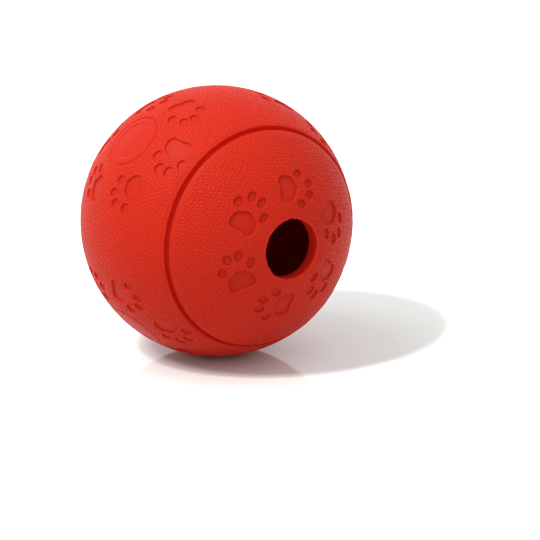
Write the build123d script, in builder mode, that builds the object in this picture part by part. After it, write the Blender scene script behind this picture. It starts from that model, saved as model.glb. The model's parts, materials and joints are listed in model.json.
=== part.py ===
from build123d import *
import math
import os

# Treat dispensing ball: a hollow rubber ball in three mouldings, a belt between two domed caps.
# The ball's centre is the origin, +Z is up, and the mouth looks along -Y.
# Lengths are in millimetres and angles in degrees, unless a line says otherwise.

# Shell
ball_diameter = 80.0
wall_thickness = 4.0
mouth_diameter = 17.4
mouth_round = 0.4

# Seam grooves between the belt and the caps
belt_width = 48.0  # along the mouth's axis, between the middles of the two grooves
groove_width = 1.3
groove_depth = 1.7
groove_round = 0.3

# Plug rings behind the caps' rims, and the belt's collars that take them
seat_width = 1.6  # flat ring that a cap lands on, inside the groove
plug_length = 6.5
plug_thickness = 2.6  # at the tip
plug_tip_round = 0.8
plug_taper = 3.0  # each side
plug_clearance = 0.15  # each side
collar_length = 7.0

# Stations: one on each cap's pole and four round the belt, each with a ring of paw prints
belt_stations = 4
station_roll = 45.5  # first belt station, from +X towards +Z
badge_diameter = 17.3
badge_line = 0.5  # line sunk round each badge
badge_border = 1.8  # plain border between that line and the sunk field
badge_depth = 0.3
ring_reach = 17.4  # along the skin, from a station's middle to the middle of a pad
ring_prints = 6
cap_ring_turn = 27.6
belt_ring_turn = 11.8
print_heading = -95.0  # from straight away from the station, so the prints walk round it

# Paw print: places are forwards and to the side of the middle of the pad
print_depth = 0.6
pad_front_radius = 2.5
pad_front_place = 0.9
pad_shoulder_radius = 1.9
pad_shoulder_forward = 0.5
pad_shoulder_side = 1.9
pad_lobe_radius = 1.9
pad_lobe_forward = -0.9
pad_lobe_side = 2.1
pad_hollow_radius = 3.0
pad_hollow_depth = 0.35
toe_length = 3.3
toe_width = 2.7
inner_toe_forward = 7.5
inner_toe_side = 1.65
inner_toe_lean = 8.0
outer_toe_forward = 4.2
outer_toe_side = 4.3
outer_toe_lean = 15.0

# Sizes worked out from the ones above; angles here are in radians from the mouth's axis
ball_radius = ball_diameter / 2
hollow_radius = ball_radius - wall_thickness
mouth_radius = mouth_diameter / 2
seam_angle = math.acos(belt_width / 2 / ball_radius)
groove_half_angle = groove_width / 2 / ball_radius
groove_floor = ball_radius * math.cos(groove_half_angle) - groove_depth
seat_level = groove_floor * math.cos(seam_angle)
seat_radius = groove_floor * math.sin(seam_angle)
socket_radius = seat_radius - seat_width
plug_radius = socket_radius - plug_clearance
plug_tip_level = seat_level - plug_length
plug_tip_radius = plug_radius - plug_length * math.tan(math.radians(plug_taper))
plug_bore = plug_tip_radius - plug_thickness
collar_level = seat_level - collar_length
collar_radius = socket_radius - collar_length * math.tan(math.radians(plug_taper))
ring_tilt = math.degrees(ring_reach / ball_radius)
edge_tolerance = 0.001

# Section planes: across is the distance from the mouth's axis, up is the way to the cap's pole
front_section = Plane(origin=(0, 0, 0), x_dir=(1, 0, 0), z_dir=(0, 0, -1))
rear_section = Plane.XY

# Station planes: the normal looks out of the ball, and the rings turn from the plane's X
front_station = Plane(origin=(0, 0, 0), x_dir=(1, 0, 0), z_dir=(0, -1, 0))
rear_station = Plane(origin=(0, 0, 0), x_dir=(1, 0, 0), z_dir=(0, 1, 0))


def belt_station(index):
    """Plane of one belt station, with its X towards the mouth."""
    roll = math.radians(station_roll + 360 / belt_stations * index)
    return Plane(origin=(0, 0, 0), x_dir=(0, -1, 0), z_dir=(math.cos(roll), 0, math.sin(roll)))


def ring_places(station, turn):
    """Places of a station's paw prints: turned round it, tilted out along the skin, then headed."""
    step = 360 / ring_prints
    outwards = Rot(0, ring_tilt, 0) * Rot(0, 0, print_heading)
    return [station.location * Rot(0, 0, turn + step * i) * outwards for i in range(ring_prints)]


def at(radius, angle):
    """Point of a section at a distance from the ball's centre and an angle from the mouth's axis."""
    return Vector(radius * math.sin(angle), radius * math.cos(angle))


def skin_arc(radius, start, end):
    """Arc about the ball's centre between two angles from the mouth's axis."""
    return ThreePointArc(at(radius, start), at(radius, (start + end) / 2), at(radius, end))


def groove_side(angle):
    """Edge and foot of the groove's wall that stands at an angle from the mouth's axis."""
    edge = at(ball_radius, angle)
    return edge, edge - at(groove_depth, seam_angle)


def cap_section(opening):
    """Section of a cap: dome, its half of the groove, flat seat and tapered plug ring.
    Opening is the radius of the mouth at its pole, 0 on a closed cap."""
    rim_angle = seam_angle - groove_half_angle
    rim_edge, rim_foot = groove_side(rim_angle)
    outer_opening = math.asin(opening / ball_radius)
    inner_opening = math.asin(opening / hollow_radius)
    bore_angle = math.asin(plug_bore / hollow_radius)
    skin_arc(ball_radius, outer_opening, rim_angle)
    Polyline(
        rim_edge,
        rim_foot,
        (seat_radius, seat_level),
        (plug_radius, seat_level),
        (plug_tip_radius, plug_tip_level),
        (plug_bore, plug_tip_level),
        at(hollow_radius, bore_angle),
    )
    skin_arc(hollow_radius, bore_angle, inner_opening)
    Line(at(hollow_radius, inner_opening), at(ball_radius, outer_opening))


def belt_section():
    """Section of the belt: skin, and at each edge its half of the groove, the seat and the tapered collar."""
    edge_angle = seam_angle + groove_half_angle
    foot_angle = math.acos(collar_level / hollow_radius)
    edge, foot = groove_side(edge_angle)
    side = [
        edge,
        foot,
        Vector(seat_radius, seat_level),
        Vector(socket_radius, seat_level),
        Vector(collar_radius, collar_level),
        at(hollow_radius, foot_angle),
    ]
    Polyline(*side)
    Polyline(*[Vector(p.X, -p.Y) for p in side])
    skin_arc(ball_radius, edge_angle, math.pi - edge_angle)
    skin_arc(hollow_radius, foot_angle, math.pi - foot_angle)


def rings(part):
    """Edges that are whole circles."""
    return part.edges().filter_by(GeomType.CIRCLE).filter_by(lambda e: e.is_closed)


def skin_rings(part):
    """Whole circles that lie on the ball's outer skin, the smallest first."""
    on_skin = rings(part).filter_by(lambda e: abs(e.position_at(0).length - ball_radius) < edge_tolerance)
    return on_skin.sort_by(SortBy.RADIUS)


def plug_tip_rings(part):
    """The two whole circles at the tip of a cap's plug ring."""
    return rings(part).filter_by(lambda e: abs(abs(e.arc_center.Y) - plug_tip_level) < edge_tolerance)


# Cutter for one paw print, standing on the ball's top with its toes towards +X; its floor follows the skin
with BuildPart() as paw_print:
    with BuildSketch(Plane.XY.offset(ball_radius / 2)):
        with Locations((pad_front_place, 0)):
            Circle(pad_front_radius)
        with Locations((pad_shoulder_forward, pad_shoulder_side), (pad_shoulder_forward, -pad_shoulder_side)):
            Circle(pad_shoulder_radius)
        with Locations((pad_lobe_forward, pad_lobe_side), (pad_lobe_forward, -pad_lobe_side)):
            Circle(pad_lobe_radius)
        make_hull()
        with Locations((pad_lobe_forward - pad_lobe_radius + pad_hollow_depth - pad_hollow_radius, 0)):
            Circle(pad_hollow_radius, mode=Mode.SUBTRACT)
        for side in (1, -1):
            with Locations(
                Location((inner_toe_forward, side * inner_toe_side), side * inner_toe_lean),
                Location((outer_toe_forward, side * outer_toe_side), side * outer_toe_lean),
            ):
                Ellipse(toe_length / 2, toe_width / 2)
    extrude(amount=ball_radius)
    Sphere(ball_radius - print_depth, mode=Mode.SUBTRACT)

# Cutter for one plain badge, standing on the ball's top: the line round it, and the field inside its border
with BuildPart() as badge_place:
    with BuildSketch(Plane.XY.offset(ball_radius / 2)):
        Circle(badge_diameter / 2)
        Circle(badge_diameter / 2 - badge_line, mode=Mode.SUBTRACT)
        Circle(badge_diameter / 2 - badge_line - badge_border)
    extrude(amount=ball_radius)
    Sphere(ball_radius - badge_depth, mode=Mode.SUBTRACT)

# Front cap, with the mouth through its pole
with BuildPart() as front_cap:
    with BuildSketch(front_section):
        with BuildLine():
            cap_section(mouth_radius)
        make_face()
    revolve(axis=Axis.Y)
    fillet(skin_rings(front_cap)[0], mouth_round)
    fillet(skin_rings(front_cap)[-1], groove_round)
    fillet(plug_tip_rings(front_cap), plug_tip_round)
    with Locations(*ring_places(front_station, cap_ring_turn)):
        add(paw_print.part, mode=Mode.SUBTRACT)

# Belt, open at both ends
with BuildPart() as centre_band:
    with BuildSketch(front_section):
        with BuildLine():
            belt_section()
        make_face()
    revolve(axis=Axis.Y)
    fillet(skin_rings(centre_band), groove_round)
    for index in range(belt_stations):
        with Locations(belt_station(index)):
            add(badge_place.part, mode=Mode.SUBTRACT)
        with Locations(*ring_places(belt_station(index), belt_ring_turn)):
            add(paw_print.part, mode=Mode.SUBTRACT)

# Rear cap, closed, with a plain badge where the front cap has its mouth
with BuildPart() as rear_cap:
    with BuildSketch(rear_section):
        with BuildLine():
            cap_section(0)
        make_face()
    revolve(axis=Axis.Y)
    fillet(skin_rings(rear_cap)[-1], groove_round)
    fillet(plug_tip_rings(rear_cap), plug_tip_round)
    with Locations(rear_station):
        add(badge_place.part, mode=Mode.SUBTRACT)
    with Locations(*ring_places(rear_station, cap_ring_turn)):
        add(paw_print.part, mode=Mode.SUBTRACT)

os.makedirs("parts", exist_ok=True)

front_cap.part.label = "front_cap"
centre_band.part.label = "centre_band"
rear_cap.part.label = "rear_cap"

export_step(front_cap.part, "parts/front_cap.step")
export_step(centre_band.part, "parts/centre_band.step")
export_step(rear_cap.part, "parts/rear_cap.step")
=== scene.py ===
"""Treat dispensing ball: three mouldings of red rubber, with paw prints pressed into a pebbled skin."""

import json
import math

import bmesh
import bpy
import numpy as np
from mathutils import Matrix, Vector
from mathutils.geometry import delaunay_2d_cdt


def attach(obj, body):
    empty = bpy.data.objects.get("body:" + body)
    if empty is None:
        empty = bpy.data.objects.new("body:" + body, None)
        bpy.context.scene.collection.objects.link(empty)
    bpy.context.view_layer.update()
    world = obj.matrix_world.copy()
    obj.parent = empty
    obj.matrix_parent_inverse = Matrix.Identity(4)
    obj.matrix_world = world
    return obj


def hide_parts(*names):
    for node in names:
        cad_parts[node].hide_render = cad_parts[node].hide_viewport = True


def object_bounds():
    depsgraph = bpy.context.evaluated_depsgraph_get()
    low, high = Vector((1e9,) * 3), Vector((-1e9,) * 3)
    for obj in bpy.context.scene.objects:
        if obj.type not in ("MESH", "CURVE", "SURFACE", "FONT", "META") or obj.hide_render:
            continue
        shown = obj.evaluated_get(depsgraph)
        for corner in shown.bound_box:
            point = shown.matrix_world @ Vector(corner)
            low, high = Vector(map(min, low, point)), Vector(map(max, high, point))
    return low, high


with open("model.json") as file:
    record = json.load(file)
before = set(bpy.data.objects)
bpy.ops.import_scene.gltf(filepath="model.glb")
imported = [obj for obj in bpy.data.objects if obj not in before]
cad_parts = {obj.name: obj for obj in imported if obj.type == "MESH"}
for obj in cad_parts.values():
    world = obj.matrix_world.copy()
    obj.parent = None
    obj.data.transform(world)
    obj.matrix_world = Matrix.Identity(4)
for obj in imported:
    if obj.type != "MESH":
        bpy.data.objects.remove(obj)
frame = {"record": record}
cad_low, cad_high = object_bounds()

# Lengths are in millimetres and angles in degrees, unless a line says otherwise
MM = 0.001  # metres
FLOOR_LEVEL = cad_low.z  # metres

# Shell
BALL_RADIUS = 40.0
HOLLOW_RADIUS = 36.0
MOUTH_RADIUS = next(m["dims"]["r_mm"] for m in frame["record"]["mounts"] if m["name"] == "mouth")
MOUTH_ANGLE = math.asin(MOUTH_RADIUS / BALL_RADIUS)  # radians from the mouth's axis

# Seam grooves between the belt and the caps
BELT_WIDTH = 48.0
GROOVE_WIDTH = 1.3
GROOVE_DEPTH = 1.7
SEAM = math.acos(BELT_WIDTH / 2 / BALL_RADIUS)  # radians from the mouth's axis
GROOVE_HALF = GROOVE_WIDTH / 2 / BALL_RADIUS  # radians
GROOVE_FLOOR = BALL_RADIUS * math.cos(GROOVE_HALF) - GROOVE_DEPTH

# Flat seats, tapered plug rings and the collars that take them
SEAT_WIDTH = 1.6
PLUG_LENGTH = 6.5
PLUG_THICKNESS = 2.6
PLUG_CLEARANCE = 0.15
COLLAR_LENGTH = 7.0
TAPER = math.tan(math.radians(3.0))
SEAT_LEVEL = GROOVE_FLOOR * math.cos(SEAM)
SEAT_RADIUS = GROOVE_FLOOR * math.sin(SEAM)
SOCKET_RADIUS = SEAT_RADIUS - SEAT_WIDTH
PLUG_RADIUS = SOCKET_RADIUS - PLUG_CLEARANCE

# Stations: one on each cap's pole and four round the belt, each with a ring of paw prints
BELT_STATIONS = 4
STATION_ROLL = 45.5
BADGE_RADIUS = 8.65
BADGE_DEPTH = 0.3
BADGE_LINE = 0.5  # line round the badge
BADGE_FIELD = 6.35  # radius of the field inside its border
RING_REACH = 17.4  # along the skin
RING_PRINTS = 6
CAP_RING_TURN = 27.6
BELT_RING_TURN = 11.8
PRINT_HEADING = -95.0
CAP_SECTOR_TURN = -9.5  # from the middle of a pad to the middle of its whole print, round the pole

# Paw print: forwards and sideways from the middle of its pad
PRINT_DEPTH = 0.5
CORNER_REACH = 1.2  # how far the painted shade in a print's corners reaches over its floor
CAP_CORNER_SHADE = 1.0  # how much of it there is
BELT_CORNER_SHADE = 0.35
PAD_LOBES = np.array([(0.9, 0.0), (0.5, 1.9), (0.5, -1.9), (-0.9, 2.1), (-0.9, -2.1)])
PAD_RADII = np.array([2.5, 1.9, 1.9, 1.9, 1.9])
PAD_HOLLOW = 0.35
PAD_HOLLOW_WIDTH = 1.3
TOE_LENGTH = 3.3
TOE_WIDTH = 2.7
TOES = [  # forwards, sideways and lean
    (7.5, 1.65, 8.0),
    (7.5, -1.65, -8.0),
    (4.2, 4.3, 15.0),
    (4.2, -4.3, -15.0),
]

# How the prints and edges are eased by the mould
PRINT_SHOULDER = 0.28  # radius of the round edge, and how much of it lies outside the print's outline
PRINT_OUTSIDE = 0.16
PRINT_FOOT = 0.08  # radius at the floor
PRINT_SLOPE = 80.0  # of the straight wall between them
PRINT_MARGIN = 0.05
FLOOR_ROWS = np.array([0.92, 0.5, 0.0])  # rows of a print's floor, as shares of the way from its middle
BADGE_EASE = 0.6  # across the edge of a badge's field
LIP_WIDTH = 0.6  # raised bead along the belt's edges, with a shallow gutter behind it
LIP_HEIGHT = 0.2
LIP_GUTTER = 0.18
RIM_WIDTH = 0.4  # raised bead round the mouth's trimmed edge
RIM_HEIGHT = 0.12
RIM_RAGGED = 0.4  # how far the mouth's edge wanders, and the bead along the belt's edges
LIP_RAGGED = 0.2
SOAK_WIDTH = 0.3  # how far painted light, for light soaking through, reaches across the mouth's edge
SOAK_DEPTH = 0.6  # how far down the walls of the mouth and the grooves it comes in full
SOAK_SHARE = 0.45  # how strong it is there
CAP_BAND = 1.3  # skin without grain beside the grooves and the mouth
BELT_BAND = 0.8
GRAIN_FADE = 0.5
EDGE_WAVES = np.array([3, 5, 8, 13, 19, 26, 34, 41, 55, 67])  # waves of a ragged edge in a full turn

# Fineness of the meshes
COLUMNS = 240
SKIN_STEP = 1.0
SKIN_GAP = 0.62  # least distance of the skin's own points from its edges, in steps
RUN_STEP = 1.2
CURVE_RUN = 0.04  # radians of the hollow's curve that a corner is eased into
CORNER_STEPS = 5
LIP_ROWS = 12
PAD_COLUMNS = 60
TOE_COLUMNS = 32
BADGE_COLUMNS = 72
BADGE_ROWS = (14, 9, 6)  # over the line round it, over the edge of its field, and over the field
WALL_STEPS = 4
WELD = 0.002
TINY = 1e-9  # keeps a division at a pole from failing
NET_TOLERANCE = 1e-6  # within which two points of the skin's net are one
LEAST_AREA = 1e-6  # square millimetres, below which three points of the skin lie in line

# Where the patches of the skin meet the turned sections, along the skin from a pole
TURNED_BAND = 1.0  # skin beside the grooves and the mouth that belongs to the sections
RIM_REACH = BALL_RADIUS * (SEAM - GROOVE_HALF) - TURNED_BAND
MOUTH_REACH = BALL_RADIUS * MOUTH_ANGLE + TURNED_BAND
BADGE_REACH = BALL_RADIUS * math.asin((BADGE_RADIUS + PRINT_MARGIN) / BALL_RADIUS)
BELT_EDGE = SEAM + GROOVE_HALF + TURNED_BAND / BALL_RADIUS  # radians from the mouth's axis
CAP_PHASE = CAP_RING_TURN + CAP_SECTOR_TURN - 180 / RING_PRINTS  # where their columns start round the axis
BELT_PHASE = STATION_ROLL - 180 / BELT_STATIONS


def smooth_step(t):
    """Rises from 0 to 1 as t does, level at both ends: t squared times three minus two t."""
    t = np.clip(t, 0, 1)
    return t * t * (3 - 2 * t)


def turned(degrees):
    """Turn about the third axis, from the first axis towards the second."""
    c, s = math.cos(math.radians(degrees)), math.sin(math.radians(degrees))
    return np.array([[c, -s, 0], [s, c, 0], [0, 0, 1]])


def tilted(degrees):
    """Tilt about the second axis, from the third axis towards the first."""
    c, s = math.cos(math.radians(degrees)), math.sin(math.radians(degrees))
    return np.array([[c, 0, s], [0, 1, 0], [-s, 0, c]])


def station_axes(ahead, outward):
    """Columns: the way from which a station's turns are counted, the way they turn to, and outwards."""
    return np.column_stack([ahead, np.cross(outward, ahead), outward])


def belt_station(index):
    """Axes of one belt station, ahead towards the mouth."""
    roll = math.radians(STATION_ROLL + 360 / BELT_STATIONS * index)
    return station_axes((0, -1, 0), (math.cos(roll), 0, math.sin(roll)))


FRONT_STATION = station_axes((1, 0, 0), (0, -1, 0))
REAR_STATION = station_axes((1, 0, 0), (0, 1, 0))


# Outlines pressed into the skin


def evenly(outline, count):
    """Closed outline with its points at equal steps along its length."""
    loop = np.vstack([outline, outline[:1]])
    along = np.concatenate([[0], np.cumsum(np.hypot(*np.diff(loop, axis=0).T))])
    stations = np.linspace(0, along[-1], count, endpoint=False)
    return np.column_stack([np.interp(stations, along, loop[:, i]) for i in (0, 1)])


def round_outline(count, radius):
    """Circle: radius times the cosine and sine of a full turn."""
    turn = np.linspace(0, 2 * np.pi, count, endpoint=False)
    return radius * np.column_stack([np.cos(turn), np.sin(turn)])


def pad_outline():
    """Tight band round five lobes: in each direction it lies on the lobe that reaches furthest that way.
    The middle of its back is pressed in along a bell curve."""
    ways = round_outline(720, 1.0)
    furthest = np.argmax(ways @ PAD_LOBES.T + PAD_RADII, axis=1)
    band = evenly(PAD_LOBES[furthest] + PAD_RADII[furthest, None] * ways, PAD_COLUMNS)
    behind = smooth_step(-band[:, 0])
    band[:, 0] += PAD_HOLLOW * behind * np.exp(-((band[:, 1] / PAD_HOLLOW_WIDTH) ** 2))
    return band


def toe_outline(forwards, sideways, lean):
    """Ellipse about the toe's middle, leaning away from the print's line."""
    oval = evenly(round_outline(360, 1.0) * (TOE_LENGTH / 2, TOE_WIDTH / 2), TOE_COLUMNS)
    return oval @ turned(lean)[:2, :2].T + (forwards, sideways)


PRINT_OUTLINES = [pad_outline()] + [toe_outline(*toe) for toe in TOES]
BADGE_OUTLINE = round_outline(BADGE_COLUMNS, 1.0)


# Patches: points in millimetres, faces, and how much grain each point has


def grid_faces(rows, columns):
    """Quads of a grid that closes on itself along its columns."""
    place = np.arange(rows * columns).reshape(rows, columns)
    ahead = np.roll(place, -1, axis=1)
    return np.stack([place[:-1], ahead[:-1], ahead[1:], place[1:]], axis=-1).reshape(-1, 4)


def on_skin(flat, sink):
    """Points above a flat outline, straight up onto the ball, then sunk towards its centre."""
    height = np.sqrt(BALL_RADIUS**2 - (flat**2).sum(axis=-1, keepdims=True))
    return np.concatenate([flat, height], axis=-1) * (1 - sink / BALL_RADIUS)


def wall_section():
    """Section of a print's wall, inwards and down from the skin: a round shoulder, a steep straight wall
    between two of the points, and a small round foot."""
    turn = np.radians(np.linspace(0, PRINT_SLOPE, WALL_STEPS))
    quarter = np.column_stack([np.sin(turn), 1 - np.cos(turn)])
    shoulder = PRINT_SHOULDER * quarter
    foot = -PRINT_FOOT * quarter[::-1]
    drop = PRINT_DEPTH + foot[0, 1] - shoulder[-1, 1]
    end = shoulder[-1, 0] + drop / math.tan(turn[-1]) - foot[0, 0]
    return np.vstack([shoulder, foot + (end, PRINT_DEPTH)])


def pressed(outline, axes, corner_shade):
    """Hollow of a print. The outline is carried inwards and down along the section of its wall; the floor's
    rows then shrink to its middle. Its first row lies on the skin. Its grain falls below 0 in the corner
    along an S curve, by as much painted corner shade as is asked for, and fades to 0 over the floor along an
    exponential curve; there the material paints the corners darker, as painted shade."""
    ahead = np.roll(outline, -1, axis=0) - np.roll(outline, 1, axis=0)
    outward = np.column_stack([ahead[:, 1], -ahead[:, 0]]) / np.hypot(*ahead.T)[:, None]
    inset, sink = np.vstack([(-PRINT_MARGIN, 0), wall_section()]).T
    wall = outline - (inset - PRINT_OUTSIDE)[:, None, None] * outward
    middle = wall[-1].mean(axis=0)
    floor = middle + FLOOR_ROWS[:, None, None] * (wall[-1] - middle)
    flat = np.concatenate([wall, floor])
    from_wall = (1 - FLOOR_ROWS) * np.hypot(*(wall[-1] - middle).T).mean()
    # Painted shade: grain below 0 marks how much darker the corner is painted.
    grain = 1 - smooth_step(sink / PRINT_SHOULDER) - corner_shade * smooth_step(sink / PRINT_DEPTH)
    grain = np.concatenate([grain, -corner_shade * np.exp(-from_wall / CORNER_REACH)])
    sink = np.concatenate([sink, np.full(len(FLOOR_ROWS), PRINT_DEPTH)])
    points = on_skin(flat, sink[:, None, None]).reshape(-1, 3) @ axes.T
    return points, grid_faces(len(flat), len(outline)), np.repeat(grain, len(outline))


def inside(points, loop):
    """Which flat points lie in a closed loop: those from which a level line to one side crosses it an odd
    number of times."""
    x, y = points[:, :1], points[:, 1:]
    ahead = np.roll(loop, -1, axis=0)
    spans = (loop[:, 1] > y) != (ahead[:, 1] > y)
    rise = np.where(ahead[:, 1] == loop[:, 1], 1.0, ahead[:, 1] - loop[:, 1])
    meets = loop[:, 0] + (y - loop[:, 1]) * (ahead[:, 0] - loop[:, 0]) / rise
    return (spans & (x < meets)).sum(axis=1) % 2 == 1


def skin_net(border, holes):
    """Flat net of triangles inside a border and outside the holes, on points set in staggered rows."""
    low, high = border.min(axis=0), border.max(axis=0)
    across = np.arange(low[0], high[0], SKIN_STEP)
    rows = np.arange(low[1], high[1], SKIN_STEP * math.sqrt(3) / 2)
    stagger = SKIN_STEP / 2 * (np.arange(len(rows)) % 2)
    upwards = np.broadcast_to(rows[:, None], (len(rows), len(across)))
    field = np.stack([across + stagger[:, None], upwards], axis=-1).reshape(-1, 2)
    loops = [border, *holes]
    edge = np.vstack(loops)
    near = np.sqrt(((field[:, None] - edge) ** 2).sum(axis=-1)).min(axis=1)
    free = inside(field, border) & (near > SKIN_GAP * SKIN_STEP)
    free &= ~np.any([inside(field, hole) for hole in holes], axis=0)
    points = np.vstack([edge, field[free]])
    starts = np.cumsum([0] + [len(loop) for loop in loops])
    rings = [np.arange(start, end) for start, end in zip(starts[:-1], starts[1:])]
    sides = np.vstack([np.column_stack([ring, np.roll(ring, -1)]) for ring in rings])
    places = [Vector(point) for point in points]
    _, _, faces, sources, _, _ = delaunay_2d_cdt(places, sides.tolist(), [], 0, NET_TOLERANCE, True)
    triangles = np.array([ids[0] for ids in sources])[np.array(faces)]
    middles = points[triangles].mean(axis=1)
    (ax, ay), (bx, by) = (points[triangles[:, i]].T - points[triangles[:, 0]].T for i in (1, 2))
    kept = (np.abs(ax * by - ay * bx) > LEAST_AREA) & inside(middles, border)
    kept &= ~np.any([inside(middles, hole) for hole in holes], axis=0)
    return points, triangles[kept]


def cap_chart(points):
    """Distance from the pole along the skin, laid out on the true way round it."""
    around = np.hypot(points[:, 0], points[:, 1])
    reach = BALL_RADIUS * np.arctan2(around, points[:, 2])
    return points[:, :2] * (reach / np.maximum(around, TINY))[:, None]


def cap_skin(chart):
    """Points of the ball at a distance from the pole along the skin."""
    reach = np.hypot(*chart.T)[:, None]
    way = chart / np.maximum(reach, TINY)
    return BALL_RADIUS * np.hstack([way * np.sin(reach / BALL_RADIUS), np.cos(reach / BALL_RADIUS)])


def belt_chart(points):
    """Length round the belt and length across it, both in millimetres on the ball's largest circle."""
    around = np.arctan2(points[:, 1], points[:, 2])
    across = np.arcsin(np.clip(points[:, 0] / BALL_RADIUS, -1, 1))
    return BALL_RADIUS * np.column_stack([around, across])


def belt_skin(chart):
    """Points of the ball at a length round the belt and a length across it."""
    around, across = (chart / BALL_RADIUS).T
    level = np.cos(across)
    return BALL_RADIUS * np.column_stack([np.sin(across), level * np.sin(around), level * np.cos(around)])


def skin_grain(points):
    """Grain on the skin: none in the smooth bands beside the grooves and the mouth, all of it past them."""
    angle = np.arccos(np.clip(-points[:, 1] / np.linalg.norm(points, axis=1), -1, 1))
    to_front = np.abs(angle - SEAM) - GROOVE_HALF
    to_rear = np.abs(math.pi - angle - SEAM) - GROOVE_HALF
    to_mouth = angle - MOUTH_ANGLE
    on_belt = np.abs(angle - math.pi / 2) < math.pi / 2 - SEAM
    nearest = BALL_RADIUS * np.minimum(np.minimum(to_front, to_rear), to_mouth)
    return smooth_step((nearest - np.where(on_belt, BELT_BAND, CAP_BAND) + GRAIN_FADE) / GRAIN_FADE)


def painted_edge_light(points):
    """How much painted light lies on each point, standing for light that soaks through the rubber: a bell
    curve across the mouth's trimmed edge, and an S curve down the walls of the mouth and the grooves."""
    across = np.hypot(points[:, 0], points[:, 2])
    outer_level = math.sqrt(BALL_RADIUS**2 - MOUTH_RADIUS**2)
    to_edge = np.hypot(across - MOUTH_RADIUS, points[:, 1] + outer_level)
    from_seam = BALL_RADIUS * np.abs(np.arctan2(across, np.abs(points[:, 1])) - SEAM)
    sink = BALL_RADIUS - np.linalg.norm(points, axis=1)
    walls = (from_seam < GROOVE_WIDTH) & (sink < GROOVE_DEPTH + SOAK_DEPTH)
    walls |= (across < MOUTH_RADIUS + RIM_WIDTH) & (points[:, 1] < 0)
    at_edge = np.exp(-((to_edge / SOAK_WIDTH) ** 2))
    return np.maximum(at_edge, SOAK_SHARE * walls * smooth_step(sink / SOAK_DEPTH))


def sectors(border, chart, unchart, hollows, places):
    """Skin of one sector, which is open over its hollows, and the hollows, set at each of their places on the
    ball. A hollow comes with its outline, which is as long as the hollow's first row."""
    edges = [patch[0][: len(outline)] for patch, outline in hollows]
    net, triangles = skin_net(border, [chart(edge) for edge in edges])
    skin = unchart(net)
    rims = np.vstack(edges)
    skin[len(border) : len(border) + len(rims)] = rims
    patches = []
    for place in places:
        moved = skin @ place.T
        patches.append((moved, triangles, skin_grain(moved)))
        patches += [(points @ place.T, faces, grain) for (points, faces, grain), _ in hollows]
    return patches


def print_axes(turn, index):
    """Axes of one print of a ring, in its station's axes."""
    tilt = math.degrees(RING_REACH / BALL_RADIUS)
    return turned(turn + 360 / RING_PRINTS * index) @ tilted(tilt) @ turned(PRINT_HEADING)


def print_hollows(axes, corner_shade):
    """The five hollows of one print, with their outlines."""
    return [(pressed(outline, axes, corner_shade), outline) for outline in PRINT_OUTLINES]


def badge(outline, axes):
    """Plain badge inside a round outline: a line sunk round it along a bell curve, a border level with the
    skin, and a field sunk past an S curve. Its rows shrink to its middle. The grain ends at the line's
    outer side."""
    line_rows, edge_rows, field_rows = BADGE_ROWS
    line = np.linspace(BADGE_RADIUS + PRINT_MARGIN, BADGE_RADIUS - 2 * BADGE_LINE, line_rows)
    edge = np.linspace(BADGE_FIELD + BADGE_EASE, BADGE_FIELD - BADGE_EASE, edge_rows)
    field = np.linspace(BADGE_FIELD - 2.5 * BADGE_EASE, 0, field_rows)
    reach = np.concatenate([line, edge, field])
    from_line = reach - BADGE_RADIUS + 0.6 * BADGE_LINE
    sink = np.exp(-((from_line / (0.5 * BADGE_LINE)) ** 2))
    sink += smooth_step((BADGE_FIELD + BADGE_EASE / 2 - reach) / BADGE_EASE)
    sink[0] = 0
    flat = reach[:, None, None] * outline
    points = on_skin(flat, BADGE_DEPTH * sink[:, None, None]).reshape(-1, 3) @ axes.T
    grain = smooth_step((reach - BADGE_RADIUS + 0.4 * BADGE_LINE) / (0.5 * BADGE_LINE))
    return points, grid_faces(len(reach), len(outline)), np.repeat(grain, len(outline))


def run(start, end, step=SKIN_STEP):
    """Points from one flat point towards another in even steps, without the last."""
    start, end = np.array(start, float), np.array(end, float)
    count = max(1, round(np.linalg.norm(end - start) / step))
    return start + np.linspace(0, 1, count, endpoint=False)[:, None] * (end - start)


def cap_patches(axes, inner_reach):
    """Skin of a cap from a distance from its pole to its rim: six like sectors, each with one print."""
    half = 180 / RING_PRINTS
    middle = CAP_RING_TURN + CAP_SECTOR_TURN
    turn = np.radians(middle + np.linspace(-half, half, COLUMNS // RING_PRINTS + 1))
    rays = np.column_stack([np.cos(turn), np.sin(turn)])
    border = np.vstack(
        [
            inner_reach * rays[:-1],
            run(inner_reach * rays[-1], RIM_REACH * rays[-1]),
            RIM_REACH * rays[:0:-1],
            run(RIM_REACH * rays[0], inner_reach * rays[0]),
        ]
    )
    hollows = print_hollows(print_axes(CAP_RING_TURN, 0), CAP_CORNER_SHADE)
    places = [axes @ turned(360 / RING_PRINTS * index) for index in range(RING_PRINTS)]
    return sectors(border, cap_chart, cap_skin, hollows, places)


def belt_patches():
    """Skin of the belt between its edges: four like quarters, each with a ring of prints and a badge."""
    half = np.pi / BELT_STATIONS
    around = BALL_RADIUS * np.linspace(-half, half, COLUMNS // BELT_STATIONS + 1)
    reach = BALL_RADIUS * (np.pi / 2 - BELT_EDGE)
    level = np.full(len(around) - 1, reach)
    border = np.vstack(
        [
            np.column_stack([around[:-1], -level]),
            run((around[-1], -reach), (around[-1], reach)),
            np.column_stack([around[:0:-1], level]),
            run((around[0], reach), (around[0], -reach)),
        ]
    )
    hollows = [(badge(BADGE_OUTLINE, np.eye(3)), BADGE_OUTLINE)]
    for index in range(RING_PRINTS):
        hollows += print_hollows(print_axes(BELT_RING_TURN, index), BELT_CORNER_SHADE)
    places = [belt_station(index) for index in range(BELT_STATIONS)]
    return sectors(border, belt_chart, belt_skin, hollows, places)


# Sections that are turned about the mouth's axis: distance from the axis, and height towards the pole


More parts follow.
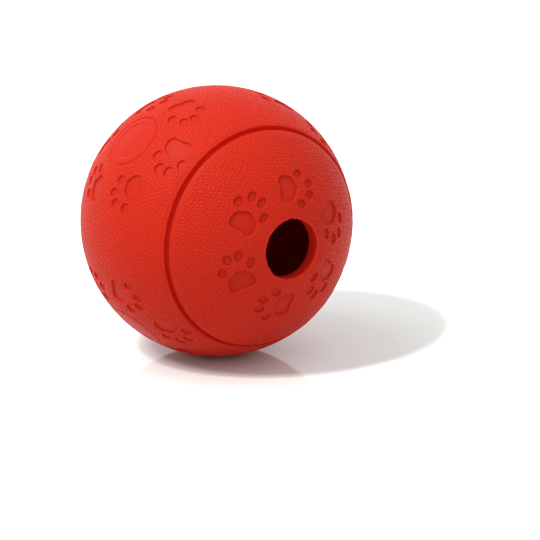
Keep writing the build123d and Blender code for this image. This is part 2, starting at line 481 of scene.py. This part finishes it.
def at(radius, angle):
    """Section points at a distance from the ball's centre and angles in radians from the mouth's axis."""
    angle = np.atleast_1d(angle)
    return np.column_stack([radius * np.sin(angle), radius * np.cos(angle)])


def arc(radius, start, end, step=RUN_STEP):
    """Arc about the ball's centre between two angles in radians."""
    count = max(2, round(radius * abs(end - start) / step) + 1)
    return at(radius, np.linspace(start, end, count))


def eased(corners, reaches):
    """Line through corners, each eased by a parabola between points at a set reach before and after it.
    Long straight runs are divided."""
    corners = np.vstack(corners)
    t = np.linspace(0, 1, CORNER_STEPS + 1)[:, None]
    pieces = [corners[:1]]
    for before, corner, after, reach in zip(corners[:-2], corners[1:-1], corners[2:], reaches):
        start = corner + (before - corner) * reach / np.linalg.norm(before - corner)
        end = corner + (after - corner) * reach / np.linalg.norm(after - corner)
        pieces.append(run(pieces[-1][-1], start, RUN_STEP)[1:])
        pieces.append((1 - t) ** 2 * start + 2 * t * (1 - t) * corner + t**2 * end)
    pieces.append(run(pieces[-1][-1], corners[-1], RUN_STEP)[1:])
    pieces.append(corners[-1:])
    return np.vstack(pieces)


def revolved(section, axes, phase, ragged, edges):
    """Section turned about the pole, starting at a phase round it. Near the edges given as section points it
    wanders along a sum of sines, as far as ragged says. Grain is left only where the section lies on the
    skin."""
    turn = np.radians(phase) + np.linspace(0, 2 * np.pi, COLUMNS, endpoint=False)
    across, up = (np.broadcast_to(side[:, None], (len(section), COLUMNS)) for side in section.T)
    from_edge = np.linalg.norm(section[:, None] - np.vstack(edges), axis=-1).min(axis=1)
    wander = np.sin(np.outer(EDGE_WAVES, turn) + EDGE_WAVES[:, None] ** 2).mean(axis=0)
    across = across + ragged * (1 - smooth_step(from_edge / LIP_WIDTH))[:, None] * wander
    points = np.stack([across * np.cos(turn), across * np.sin(turn), up], axis=-1).reshape(-1, 3) @ axes.T
    on_ball = np.linalg.norm(points, axis=1) > BALL_RADIUS - WELD
    return points, grid_faces(len(section), COLUMNS), skin_grain(points) * on_ball


def groove_side(angle):
    """Edge and foot of a groove's wall at an angle in radians."""
    edge = at(BALL_RADIUS, angle)
    return edge, edge - at(GROOVE_DEPTH, SEAM)


def cap_inside(opening):
    """Section of a cap from the skin near its rim: half of the groove, seat, plug ring, hollow dome and,
    where the cap has a mouth, the mouth's wall and rim. Opening is the mouth's radius, 0 on a closed cap."""
    edge, foot = groove_side(SEAM - GROOVE_HALF)
    tip_level = SEAT_LEVEL - PLUG_LENGTH
    tip_radius = PLUG_RADIUS - PLUG_LENGTH * TAPER
    bore = tip_radius - PLUG_THICKNESS
    bore_angle = math.asin(bore / HOLLOW_RADIUS)
    corners = [
        at(BALL_RADIUS, RIM_REACH / BALL_RADIUS),
        edge,
        foot,
        (SEAT_RADIUS, SEAT_LEVEL),
        (PLUG_RADIUS, SEAT_LEVEL),
        (tip_radius, tip_level),
        (bore, tip_level),
        at(HOLLOW_RADIUS, bore_angle),
        at(HOLLOW_RADIUS, bore_angle - CURVE_RUN),
    ]
    reaches = (0.45, 0.3, 0.15, 0.3, 0.8, 0.8, 0.8)  # from the groove's edge to the dome
    outer = eased(corners, reaches)
    if opening == 0:
        return np.vstack([outer, arc(HOLLOW_RADIUS, bore_angle - CURVE_RUN, 0)[1:]])
    inner_opening = math.asin(opening / HOLLOW_RADIUS)
    outer_opening = math.asin(opening / BALL_RADIUS)
    dome_end = inner_opening + 0.75 * CURVE_RUN
    dome = arc(HOLLOW_RADIUS, bore_angle - CURVE_RUN, dome_end)[1:-1]
    outwards = np.linspace(RIM_WIDTH / 2, MOUTH_REACH - BALL_RADIUS * outer_opening, LIP_ROWS)
    bead = RIM_HEIGHT * (1 - smooth_step((outwards - RIM_WIDTH / 2) / RIM_WIDTH))
    rim = at(BALL_RADIUS, outer_opening + outwards / BALL_RADIUS) * (1 + bead / BALL_RADIUS)[:, None]
    mouth = eased(
        [
            at(HOLLOW_RADIUS, dome_end),
            at(HOLLOW_RADIUS, inner_opening),
            at(BALL_RADIUS, outer_opening),
            rim[:1],
        ],
        (0.2, 0.1),
    )
    return np.vstack([outer, dome, mouth, rim[1:]])


def belt_inside():
    """Section of the belt from its front skin to its rear skin: half of the groove, seat, tapered collar and
    half of the hollow, then the same again in a mirror."""
    edge, foot = groove_side(SEAM + GROOVE_HALF)
    collar_level = SEAT_LEVEL - COLLAR_LENGTH
    collar_radius = SOCKET_RADIUS - COLLAR_LENGTH * TAPER
    hollow_angle = math.acos(collar_level / HOLLOW_RADIUS)
    inwards = np.linspace(TURNED_BAND, LIP_WIDTH / 4, LIP_ROWS)
    bead = LIP_HEIGHT * np.exp(-(((inwards - LIP_WIDTH / 2) / (0.4 * LIP_WIDTH)) ** 2))
    gutter = LIP_GUTTER * np.exp(-(((inwards - 1.5 * LIP_WIDTH) / (0.4 * LIP_WIDTH)) ** 2))
    skin = at(BALL_RADIUS, SEAM + GROOVE_HALF + inwards / BALL_RADIUS)
    raised = smooth_step((inwards[0] - inwards) / LIP_WIDTH) * (bead - gutter)
    skin *= 1 + raised[:, None] / BALL_RADIUS
    corners = [
        skin[-1:],
        edge,
        foot,
        (SEAT_RADIUS, SEAT_LEVEL),
        (SOCKET_RADIUS, SEAT_LEVEL),
        (collar_radius, collar_level),
        at(HOLLOW_RADIUS, hollow_angle),
        at(HOLLOW_RADIUS, hollow_angle + CURVE_RUN),
    ]
    reaches = (0.1, 0.3, 0.15, 0.3, 0.5, 0.6)  # from the groove's edge to the hollow
    front = eased(corners, reaches)
    hollow = arc(HOLLOW_RADIUS, hollow_angle + CURVE_RUN, np.pi / 2, 2 * RUN_STEP)
    half = np.vstack([skin[:-1], front, hollow[1:]])
    return np.vstack([half, half[-2::-1] * (1, -1)])


MOUTH_EDGE = at(BALL_RADIUS, MOUTH_ANGLE)
BEAD = at(BALL_RADIUS, SEAM + GROOVE_HALF + LIP_WIDTH / 2 / BALL_RADIUS)


def rear_badge():
    """Badge on the rear pole, with as many columns as the cap's sectors have."""
    return badge(round_outline(COLUMNS, 1.0) @ turned(CAP_PHASE)[:2, :2].T, REAR_STATION)


# Materials


def linear(hex_colour):
    """sRGB hex colour as the linear colour that a socket takes."""
    channels = np.array([int(hex_colour[i : i + 2], 16) for i in (1, 3, 5)]) / 255
    return (*np.where(channels <= 0.04045, channels / 12.92, ((channels + 0.055) / 1.055) ** 2.4), 1.0)


def add_node(tree, kind, inputs=None, **settings):
    """Adds a node, gives it its settings, and sets or links its inputs."""
    node = tree.nodes.new(kind)
    for name, value in settings.items():
        setattr(node, name, value)
    for name, value in (inputs or {}).items():
        if isinstance(value, bpy.types.NodeSocket):
            tree.links.new(value, node.inputs[name])
        else:
            node.inputs[name].default_value = value
    return node


def new_material(name):
    """Empty material with its output."""
    material = bpy.data.materials.new(name)
    material.use_nodes = True
    material.node_tree.nodes.clear()
    return material, material.node_tree, add_node(material.node_tree, "ShaderNodeOutputMaterial")


PEBBLE_SPACING = 1.13  # between rows of pebbles
PEBBLE_HEIGHT = 0.185
DRIFT = 2.0  # how far the rows wander, and over what length
DRIFT_SIZE = 3.0
ROW_TURNS = (20, 80, 140)  # of the three sets of rows
WEAR_SIZE = 22.0  # of the patches where the pebbles are fainter


def moulded_red_rubber():
    """Natural rubber, pigmented red and moulded in an etched steel mould: satin, with low pebbles on the skin
    and smooth floors in the prints, where the steel was left plain. The pebbles stand in three sets of
    wandering rows, are fainter in patches and are rubbed shiny on top. Painted shade darkens the pebbles'
    valleys, the rubber without grain a little, and the corners of the prints. The mouth's edge and the narrow
    grooves are painted brighter and more orange, as painted light standing for light that soaks through."""
    material, tree, output = new_material("moulded_red_rubber")
    place = add_node(tree, "ShaderNodeTexCoord").outputs["Object"]
    skin = add_node(tree, "ShaderNodeUVMap", uv_map="skin_chart").outputs["UV"]
    grain = add_node(tree, "ShaderNodeAttribute", attribute_name="grain").outputs["Fac"]
    drift = add_node(
        tree,
        "ShaderNodeTexNoise",
        {"Vector": skin, "Scale": 1 / DRIFT_SIZE, "Detail": 1.0},
        noise_dimensions="2D",
    )
    drifted = add_node(
        tree,
        "ShaderNodeVectorMath",
        {0: drift.outputs["Color"], 1: (DRIFT, DRIFT, 0), 2: skin},
        operation="MULTIPLY_ADD",
    )
    rows = 0.0
    for turn in np.radians(ROW_TURNS):
        across = 2 * np.pi / PEBBLE_SPACING * np.array((np.cos(turn), np.sin(turn), 0))
        phase = add_node(
            tree, "ShaderNodeVectorMath", {0: drifted.outputs[0], 1: across}, operation="DOT_PRODUCT"
        )
        wave = add_node(tree, "ShaderNodeMath", {0: phase.outputs["Value"]}, operation="COSINE")
        rows = add_node(tree, "ShaderNodeMath", {0: wave.outputs[0], 1: rows}, operation="ADD").outputs[0]
    level = add_node(tree, "ShaderNodeMapRange", {"Value": rows, "From Min": -1.5, "From Max": 3.0})
    dome = add_node(tree, "ShaderNodeMath", {0: level.outputs["Result"], 1: 0.6}, operation="POWER")
    patches = add_node(
        tree, "ShaderNodeTexNoise", {"Vector": place, "Scale": 1 / (WEAR_SIZE * MM), "Detail": 3.0}
    )
    worn = add_node(
        tree,
        "ShaderNodeMapRange",
        {"Value": patches.outputs[0], "From Min": 0.35, "From Max": 0.6, "To Min": 0.65, "To Max": 1.0},
    )
    relief = add_node(
        tree, "ShaderNodeMath", {0: grain, 1: worn.outputs["Result"]}, operation="MULTIPLY", use_clamp=True
    )
    height = add_node(
        tree, "ShaderNodeMath", {0: dome.outputs[0], 1: relief.outputs[0]}, operation="MULTIPLY"
    )
    bump = add_node(
        tree, "ShaderNodeBump", {"Height": height.outputs[0], "Distance": PEBBLE_HEIGHT * MM, "Strength": 1.0}
    )
    # Painted shade: the pebbles' valleys are painted a darker red where the grain stands in relief.
    valley = add_node(
        tree, "ShaderNodeMapRange", {"Value": dome.outputs[0], "From Min": 0.45, "From Max": 0.15}
    )
    painted_valley_shade = add_node(
        tree, "ShaderNodeMath", {0: valley.outputs["Result"], 1: relief.outputs[0]}, operation="MULTIPLY"
    )
    body = add_node(
        tree,
        "ShaderNodeMix",
        {"Factor": painted_valley_shade.outputs[0], "A": linear("#E8311B"), "B": linear("#DD2912")},
        data_type="RGBA",
    )
    # Painted shade: rubber without grain, in the prints' floors and the smooth bands, is painted a slightly
    # darker red.
    plain = add_node(
        tree,
        "ShaderNodeMix",
        {"Factor": grain, "A": linear("#E22E19"), "B": body.outputs[2]},
        data_type="RGBA",
    )
    # Painted shade: the prints' corners are painted darker where the grain attribute falls below 0.
    corner = add_node(tree, "ShaderNodeMapRange", {"Value": grain, "From Min": 0.0, "From Max": -1.0})
    corner_shaded = add_node(
        tree,
        "ShaderNodeMix",
        {"Factor": corner.outputs["Result"], "A": plain.outputs[2], "B": linear("#CE2513")},
        data_type="RGBA",
    )
    # Painted light: the mouth's edge and the grooves' walls are painted a brighter, more orange red.
    edge_light = add_node(tree, "ShaderNodeAttribute", attribute_name="painted_edge_light").outputs["Fac"]
    colour = add_node(
        tree,
        "ShaderNodeMix",
        {"Factor": edge_light, "A": corner_shaded.outputs[2], "B": linear("#F52E16")},
        data_type="RGBA",
    )
    rubbed = add_node(
        tree,
        "ShaderNodeMapRange",
        {"Value": dome.outputs[0], "From Min": 0.3, "From Max": 0.9, "To Min": 0.6, "To Max": 0.37},
    )
    roughness = add_node(
        tree, "ShaderNodeMapRange", {"Value": grain, "To Min": 0.46, "To Max": rubbed.outputs["Result"]}
    )
    shader = add_node(
        tree,
        "ShaderNodeBsdfPrincipled",
        {
            "Base Color": colour.outputs[2],
            "Roughness": roughness.outputs["Result"],
            "IOR": 1.5,
            "Specular IOR Level": 0.11,
            "Normal": bump.outputs["Normal"],
        },
    )
    tree.links.new(shader.outputs["BSDF"], output.inputs["Surface"])
    return material


def seen_directly(tree):
    """1 for rays from the camera, from a reflection and through glass, else 0."""
    path = add_node(tree, "ShaderNodeLightPath").outputs
    first = add_node(
        tree, "ShaderNodeMath", {0: path["Is Camera Ray"], 1: path["Is Glossy Ray"]}, operation="MAXIMUM"
    )
    return add_node(
        tree, "ShaderNodeMath", {0: first.outputs[0], 1: path["Is Transmission Ray"]}, operation="MAXIMUM"
    ).outputs[0]


KEY_AZIMUTH = -84.0
KEY_ELEVATION = 54.0
SHADOW_SPREAD = 1.03  # the painted shadow's ellipse: the key lamp is near, so the shadow is a little wider than the ball
SHADOW_DRIFT = 1.1  # the painted shadow's end on the lamp's side is washed out
SHADOW_GLOW = 0.11  # painted light in the shadow, but not right under the ball, where a painted contact shadow stays
FLOOR_GLOW = 0.36  # painted light added past the painted shadow's edge
BACKDROP_GLOW = 0.45  # added far from it


def white_acrylic_floor():
    """Cast acrylic sheet, white and satin: a plain white that keeps a pale shadow and a faint reflection near
    what stands on it. For the camera and reflections it gets painted light: a little in the ball's shadow,
    none right under the ball, which leaves a painted contact shadow, and more past an ellipse drawn for the
    ball's shadow at rest, which paints the shadow's edge. The ellipse is as wide as the ball and drawn out
    away from the key lamp."""
    material, tree, output = new_material("white_acrylic_floor")
    place = add_node(tree, "ShaderNodeTexCoord").outputs["Object"]
    turn, rise = math.radians(KEY_AZIMUTH), math.radians(KEY_ELEVATION)
    half = SHADOW_SPREAD * BALL_RADIUS * MM
    shift = SHADOW_DRIFT * half / math.tan(rise)
    ellipse = add_node(
        tree,
        "ShaderNodeMapping",
        {
            "Vector": place,
            "Location": (-shift * math.sin(turn), shift * math.cos(turn), FLOOR_LEVEL),
            "Rotation": (0, 0, turn + math.pi / 2),
            "Scale": (half / math.sin(rise), half, 1.0),
        },
        vector_type="TEXTURE",
    )
    away = add_node(tree, "ShaderNodeVectorMath", {0: ellipse.outputs["Vector"]}, operation="LENGTH")
    under = add_node(tree, "ShaderNodeVectorMath", {0: place, 1: (0, 0, FLOOR_LEVEL)}, operation="DISTANCE")
    # Painted contact shadow: no light is added right under the ball.
    painted_light_in_shadow = add_node(
        tree,
        "ShaderNodeMapRange",
        {"Value": under.outputs["Value"], "From Min": 0.008, "From Max": 0.035, "To Max": SHADOW_GLOW},
    )
    # Painted shadow edge: light is added past the ellipse drawn for the ball's resting shadow.
    near = add_node(
        tree,
        "ShaderNodeMapRange",
        {"Value": away.outputs["Value"], "From Min": 0.95, "From Max": 1.07, "To Max": FLOOR_GLOW},
    )
    far = add_node(
        tree,
        "ShaderNodeMapRange",
        {"Value": away.outputs["Value"], "From Min": 2.0, "From Max": 20.0, "To Max": BACKDROP_GLOW},
    )
    painted_floor_light = painted_light_in_shadow.outputs["Result"]
    for more in (near.outputs["Result"], far.outputs["Result"]):
        painted_floor_light = add_node(tree, "ShaderNodeMath", {0: painted_floor_light, 1: more}, operation="ADD").outputs[0]
    seen = seen_directly(tree)
    tone = add_node(
        tree,
        "ShaderNodeMix",
        {"Factor": seen, "A": linear("#D0D2D2"), "B": linear("#F0F6F2")},
        data_type="RGBA",
    )
    sheet = add_node(
        tree,
        "ShaderNodeBsdfPrincipled",
        {"Base Color": tone.outputs[2], "Roughness": 0.08, "IOR": 1.49, "Specular IOR Level": 0.42},
    )
    share = add_node(tree, "ShaderNodeMath", {0: seen, 1: painted_floor_light}, operation="MULTIPLY")
    glow = add_node(tree, "ShaderNodeEmission", {"Color": linear("#FFFFFF"), "Strength": share.outputs[0]})
    both = add_node(tree, "ShaderNodeAddShader", {0: sheet.outputs["BSDF"], 1: glow.outputs["Emission"]})
    tree.links.new(both.outputs["Shader"], output.inputs["Surface"])
    return material


# Pieces


def chart_skin(mesh, chart):
    """Gives each corner of a face its point's place on a flat chart of the skin, in millimetres. Where the
    belt's chart starts again after a whole turn, a face across the start is laid out past the end."""
    corners = np.empty(len(mesh.loops), int)
    mesh.loops.foreach_get("vertex_index", corners)
    starts = np.empty(len(mesh.polygons), int)
    mesh.polygons.foreach_get("loop_start", starts)
    sizes = np.empty(len(mesh.polygons), int)
    mesh.polygons.foreach_get("loop_total", sizes)
    flat = chart[corners]
    furthest = np.repeat(np.maximum.reduceat(flat[:, 0], starts), sizes)
    flat[furthest - flat[:, 0] > np.pi * BALL_RADIUS, 0] += 2 * np.pi * BALL_RADIUS
    mesh.uv_layers.new(name="skin_chart").data.foreach_set("uv", flat.astype(np.float32).ravel())


def front_chart(points):
    """Chart of the front cap, in its station's axes."""
    return cap_chart(points @ FRONT_STATION)


def rear_chart(points):
    """Chart of the rear cap, in its station's axes."""
    return cap_chart(points @ REAR_STATION)


def whole_belt_chart(points):
    """Chart of the belt: length round it from the start of its first quarter, and length across it."""
    around = np.arctan2(points[:, 2], points[:, 0]) - math.radians(BELT_PHASE)
    across = np.arctan2(points[:, 1], np.hypot(points[:, 0], points[:, 2]))
    return BALL_RADIUS * np.column_stack([around % (2 * np.pi), across])


def set_values(mesh, name, values):
    """Gives each point of a mesh a value that materials read by its name."""
    mesh.attributes.new(name, "FLOAT", "POINT").data.foreach_set("value", values.astype(np.float32))


def rubber_piece(name, node, body, patches, chart, material):
    """Welds patches into one closed mesh, and hands it to its body in place of its solid."""
    starts = np.cumsum([0] + [len(points) for points, _, _ in patches])
    faces = [face for start, (_, group, _) in zip(starts, patches) for face in (group + start).tolist()]
    mesh = bpy.data.meshes.new(name)
    mesh.from_pydata(np.vstack([points for points, _, _ in patches]) * MM, [], faces)
    set_values(mesh, "grain", np.concatenate([grain for _, _, grain in patches]))
    net = bmesh.new()
    net.from_mesh(mesh)
    bmesh.ops.remove_doubles(net, verts=net.verts, dist=WELD * MM)
    bmesh.ops.recalc_face_normals(net, faces=net.faces)
    net.to_mesh(mesh)
    net.free()
    places = np.empty(len(mesh.vertices) * 3)
    mesh.vertices.foreach_get("co", places)
    places = places.reshape(-1, 3) / MM
    set_values(mesh, "painted_edge_light", painted_edge_light(places))
    chart_skin(mesh, chart(places))
    mesh.shade_smooth()
    mesh.materials.append(material)
    piece = bpy.data.objects.new(name, mesh)
    bpy.context.scene.collection.objects.link(piece)
    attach(piece, body)
    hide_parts(node)


rubber = moulded_red_rubber()

front = cap_patches(FRONT_STATION, MOUTH_REACH)
front.append(revolved(cap_inside(MOUTH_RADIUS), FRONT_STATION, CAP_PHASE, RIM_RAGGED, [MOUTH_EDGE]))
rubber_piece("front_cap_moulding", "front_cap", "cap", front, front_chart, rubber)

belt = belt_patches()
belt.append(revolved(belt_inside(), FRONT_STATION, BELT_PHASE, LIP_RAGGED, [BEAD, BEAD * (1, -1)]))
rubber_piece("centre_band_moulding", "centre_band", "shell", belt, whole_belt_chart, rubber)

rear = cap_patches(REAR_STATION, BADGE_REACH)
rear.append(rear_badge())
rear.append(revolved(cap_inside(0), REAR_STATION, CAP_PHASE, 0, [MOUTH_EDGE]))
rubber_piece("rear_cap_moulding", "rear_cap", "shell", rear, rear_chart, rubber)


# Stage

FLOOR_SIZE = 8.0  # metres
half = FLOOR_SIZE / 2
corners = [(-half, -half), (half, -half), (half, half), (-half, half)]
floor_mesh = bpy.data.meshes.new("floor")
floor_mesh.from_pydata([(x, y, FLOOR_LEVEL) for x, y in corners], [], [(0, 1, 2, 3)])
floor_mesh.materials.append(white_acrylic_floor())
floor = bpy.data.objects.new("floor", floor_mesh)
bpy.context.scene.collection.objects.link(floor)


LAMP_DISTANCE = 1.2  # metres
WORLD_LIGHT = 0.6  # what the camera and reflections see of the world is plain white


def towards(azimuth, elevation):
    """Unit vector out of the ball's centre. Azimuth 0 is on the mouth's side, 90 on the right of it."""
    turn, rise = math.radians(azimuth), math.radians(elevation)
    return Vector((math.sin(turn) * math.cos(rise), -math.cos(turn) * math.cos(rise), math.sin(rise)))


def soft_light(name, azimuth, elevation, size, power):
    """Square soft box that looks at the ball's centre. Its size is in metres and its power in watts."""
    way = towards(azimuth, elevation)
    lamp = bpy.data.lights.new(name, "AREA")
    lamp.size = size
    lamp.energy = power
    holder = bpy.data.objects.new(name, lamp)
    holder.location = way * LAMP_DISTANCE
    holder.rotation_euler = way.to_track_quat("Z", "Y").to_euler()
    bpy.context.scene.collection.objects.link(holder)


soft_light("key_soft_box", KEY_AZIMUTH, KEY_ELEVATION, 0.075, 4.3)
soft_light("top_soft_box", -112.0, 65.0, 0.45, 2.9)

world = bpy.data.worlds.new("studio")
world.use_nodes = True
studio = world.node_tree
studio.nodes.clear()
brightness = add_node(
    studio, "ShaderNodeMapRange", {"Value": seen_directly(studio), "To Min": WORLD_LIGHT, "To Max": 1.0}
)
backdrop = add_node(
    studio, "ShaderNodeBackground", {"Color": linear("#FFFFFF"), "Strength": brightness.outputs["Result"]}
)
add_node(studio, "ShaderNodeOutputWorld", {"Surface": backdrop.outputs["Background"]})
bpy.context.scene.world = world

# Camera, as fitted to the ball's outline, groove, mouth and prints
CAMERA_AZIMUTH = -32.63
CAMERA_ELEVATION = 14.2
CAMERA_DISTANCE = 0.640  # metres
CAMERA_LENS = 144.5
SENSOR_WIDTH = 36.0
IMAGE_SIZE = 540  # pixels
BALL_COLUMN = 216.77  # pixel at which the ball's centre lies
BALL_ROW = 220.67

back = towards(CAMERA_AZIMUTH, CAMERA_ELEVATION)
right = towards(CAMERA_AZIMUTH + 90.0, 0.0)
up = back.cross(right)
camera_data = bpy.data.cameras.new("camera")
camera_data.lens = CAMERA_LENS
camera_data.sensor_width = SENSOR_WIDTH
pixel = CAMERA_DISTANCE * SENSOR_WIDTH / CAMERA_LENS / IMAGE_SIZE
aim = right * ((IMAGE_SIZE / 2 - BALL_COLUMN) * pixel) - up * ((IMAGE_SIZE / 2 - BALL_ROW) * pixel)
camera = bpy.data.objects.new("camera", camera_data)
camera.location = back * CAMERA_DISTANCE
camera.rotation_euler = (camera.location - aim).to_track_quat("Z", "Y").to_euler()
bpy.context.scene.collection.objects.link(camera)
bpy.context.scene.camera = camera

bpy.context.scene.view_settings.view_transform = "Standard"
